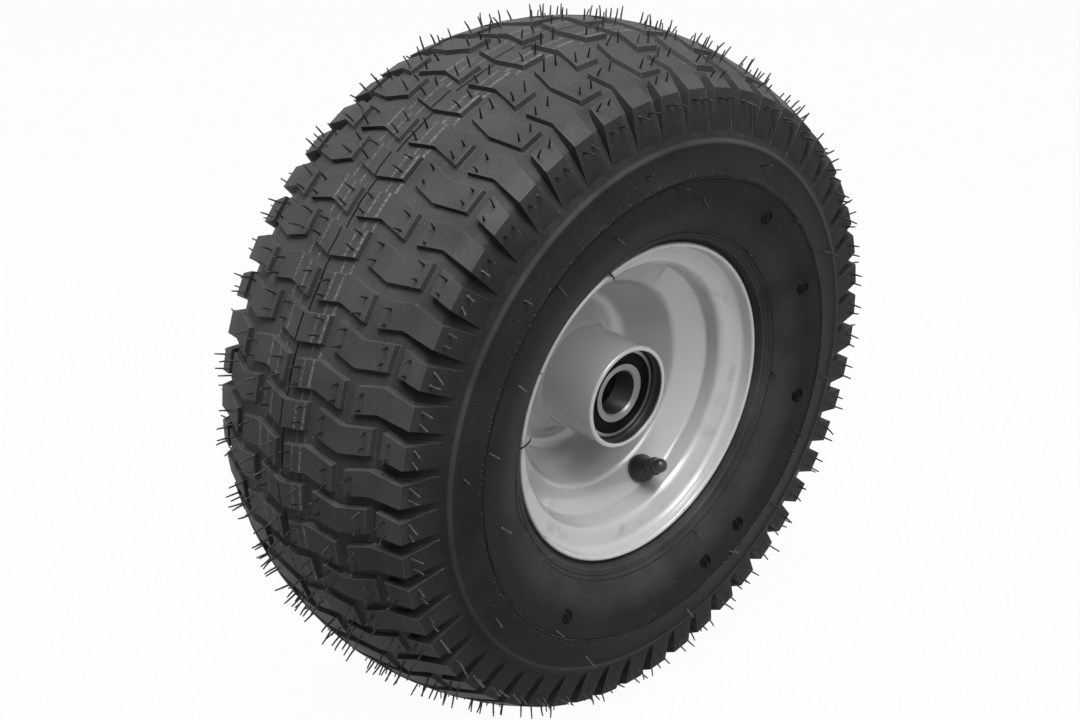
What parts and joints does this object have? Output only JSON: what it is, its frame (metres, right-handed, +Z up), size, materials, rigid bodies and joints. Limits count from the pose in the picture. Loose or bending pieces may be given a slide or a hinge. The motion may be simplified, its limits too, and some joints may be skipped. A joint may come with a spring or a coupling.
{
  "type": "wheel",
  "caption": "Wheel with a wide block-tread turf tyre on a dished pressed-steel rim, a snap-in air valve and a tubular hub with sealed ball bearings.",
  "frame": {"origin": "on the axle line at the middle of the wheel, halfway between the two ends of the hub", "axes": "+Y along the axle towards the side without the valve, +Z up, +X to the right seen from the valve side"},
  "size_m": [0.3809, 0.1636, 0.381],
  "materials": {
    "tyre_rubber": "matt black vulcanised rubber",
    "silver_paint": "glossy silver-grey paint on pressed steel",
    "bearing_steel": "ground bearing steel",
    "ball_steel": "polished bearing balls",
    "cage_plastic": "moulded nylon",
    "seal_rubber": "smooth black nitrile rubber",
    "valve_rubber": "moulded black rubber",
    "brass": "turned brass",
    "spring_steel": "drawn wire",
    "cap_plastic": "moulded black plastic"
  },
  "bodies": {
    "axle_side": {"outer_bearing_inner_ring": "bearing_steel", "inner_bearing_inner_ring": "bearing_steel"},
    "wheel": {"tyre": "tyre_rubber", "rim_outer_half": "silver_paint", "rim_inner_half": "silver_paint", "hub_tube": "silver_paint", "outer_bearing_outer_ring": "bearing_steel", "outer_bearing_outside_seal": "seal_rubber", "outer_bearing_inside_seal": "seal_rubber", "inner_bearing_outer_ring": "bearing_steel", "inner_bearing_outside_seal": "seal_rubber", "inner_bearing_inside_seal": "seal_rubber", "valve_body": "valve_rubber", "valve_stem": "brass", "valve_core_body": "brass", "valve_core_spring": "spring_steel"},
    "outer_ball_cage": {"outer_bearing_balls": "ball_steel", "outer_bearing_cage": "cage_plastic"},
    "inner_ball_cage": {"inner_bearing_balls": "ball_steel", "inner_bearing_cage": "cage_plastic"},
    "valve_pin": {"valve_core_pin": "brass"},
    "valve_cap": {"valve_cap": "cap_plastic"}
  },
  "joints": [
    {"name": "wheel_spin", "type": "hinge", "parent": "axle_side", "child": "wheel", "pos_m": [0, 0, 0], "axis": [0, 1, 0], "continuous": true},
    {"name": "outer_cage_turn", "type": "hinge", "parent": "axle_side", "child": "outer_ball_cage", "pos_m": [0, -0.0405, 0], "axis": [0, 1, 0], "continuous": true},
    {"name": "inner_cage_turn", "type": "hinge", "parent": "axle_side", "child": "inner_ball_cage", "pos_m": [0, 0.0405, 0], "axis": [0, 1, 0], "continuous": true},
    {"name": "valve_pin_press", "type": "slide", "parent": "wheel", "child": "valve_pin", "axis": [0.229, 0.8234, -0.5192], "range_m": [0, 0.0011], "stiffness_N_per_m": 600},
    {"name": "valve_cap_off", "type": "slide", "parent": "wheel", "child": "valve_cap", "axis": [-0.229, -0.8234, 0.5192], "range_m": [0, 0.012]}
  ],
  "couplings": [
    {"joint": "outer_cage_turn", "follows": "wheel_spin", "ratio": 0.60312},
    {"joint": "inner_cage_turn", "follows": "wheel_spin", "ratio": 0.60312}
  ]
}
